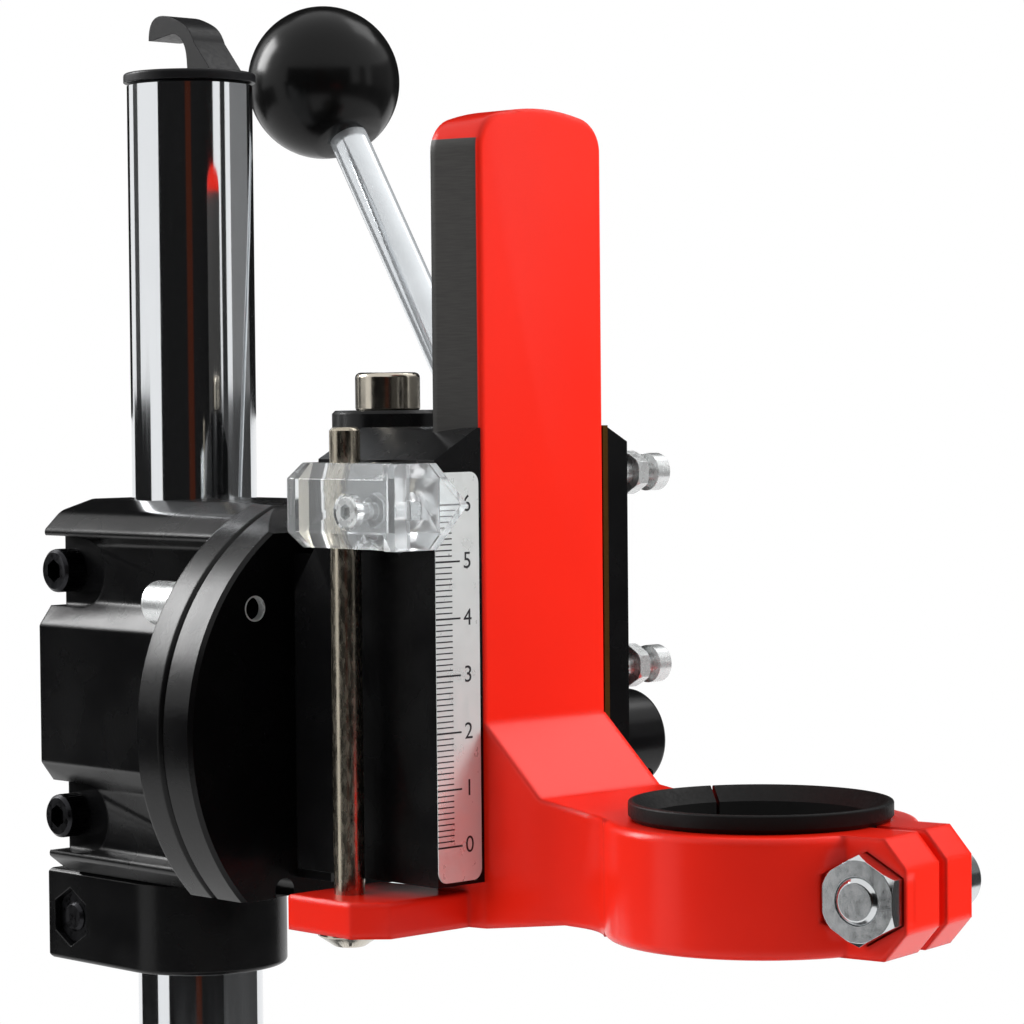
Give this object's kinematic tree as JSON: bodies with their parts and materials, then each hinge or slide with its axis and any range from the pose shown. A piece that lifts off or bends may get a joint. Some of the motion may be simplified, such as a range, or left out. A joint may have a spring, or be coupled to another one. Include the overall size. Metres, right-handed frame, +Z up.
{
  "type": "drill stand",
  "caption": "Bench drill stand: slotted base, chromed column, tilting and swinging dovetail head, rack feed with ball-ended lever and a split collar for a hand drill.",
  "frame": {"origin": "the column's axis at the underside of the base", "axes": "+Z up along the column; -Y towards the operator, with the drill's axis 152 mm in front of the column; +X is the feed lever's side"},
  "size_m": [0.17, 0.25, 0.4226],
  "materials": {
    "base_paint": "painted black, slightly rough",
    "column_chrome": "polished chrome plate",
    "black_paint": "gloss black over a die casting",
    "red_paint": "gloss red over a die casting",
    "black_plastic": "moulded, satin",
    "knob_plastic": "polished phenolic",
    "clear_plastic": "clear moulding",
    "zinc_steel": "zinc plated",
    "machined_steel": "machined",
    "black_steel": "black oxide",
    "gib_brass": "machined",
    "scale_foil": "printed silver foil"
  },
  "bodies": {
    "stand": {"base_plate": "base_paint", "base_set_screws": "black_steel", "column": "column_chrome", "column_cap": "black_plastic"},
    "support_collar": {"support_collar": "black_paint", "support_collar_screw": "zinc_steel", "support_collar_nut": "zinc_steel"},
    "clamp_head": {"clamp_block": "black_paint", "clamp_screws": "black_steel", "tilt_pivot_bolt": "black_steel"},
    "index_pin": {"index_pin": "zinc_steel"},
    "guide": {"guide_housing": "black_paint", "gib_strip": "gib_brass", "gib_screws": "zinc_steel", "gib_locknuts": "zinc_steel", "scale_plate": "scale_foil", "top_screw": "zinc_steel", "pinion_bush": "machined_steel"},
    "slide": {"slide_casting": "red_paint", "feed_rack": "machined_steel", "rack_screws": "black_steel", "reducing_sleeve": "black_plastic", "neck_clamp_bolt": "zinc_steel", "neck_clamp_nut": "zinc_steel", "depth_rod": "zinc_steel", "depth_rod_screw": "zinc_steel"},
    "pointer": {"pointer_clamp": "clear_plastic", "pointer_screw": "zinc_steel", "pointer_nut": "zinc_steel"},
    "lever": {"pinion_shaft": "machined_steel", "lever_hub": "black_paint", "hub_set_screw": "black_steel", "lever_rod": "zinc_steel", "ball_knob": "knob_plastic"}
  },
  "joints": [
    {"name": "height_adjust", "type": "slide", "parent": "stand", "child": "support_collar", "axis": [0, 0, 1], "range_m": [-0.15, 0.08]},
    {"name": "head_swing", "type": "hinge", "parent": "support_collar", "child": "clamp_head", "pos_m": [0, 0, 0.2615], "axis": [0, 0, 1], "range_deg": [-180, 180]},
    {"name": "index_push", "type": "slide", "parent": "clamp_head", "child": "index_pin", "axis": [0, -1, 0], "range_m": [0, 0.0034]},
    {"name": "head_tilt", "type": "hinge", "parent": "clamp_head", "child": "guide", "pos_m": [0, -0.046, 0.2787], "axis": [0, 1, 0], "range_deg": [0, 90]},
    {"name": "feed", "type": "slide", "parent": "guide", "child": "slide", "axis": [0, 0, -1], "range_m": [0, 0.055]},
    {"name": "lever_turn", "type": "hinge", "parent": "guide", "child": "lever", "pos_m": [0.045, -0.0735, 0.2735], "axis": [1, 0, 0], "range_deg": [0, 264]},
    {"name": "pointer_set", "type": "slide", "parent": "slide", "child": "pointer", "axis": [0, 0, -1], "range_m": [0, 0.055]}
  ],
  "couplings": [
    {"joint": "lever_turn", "follows": "feed", "rad_per_m": 83.333}
  ]
}
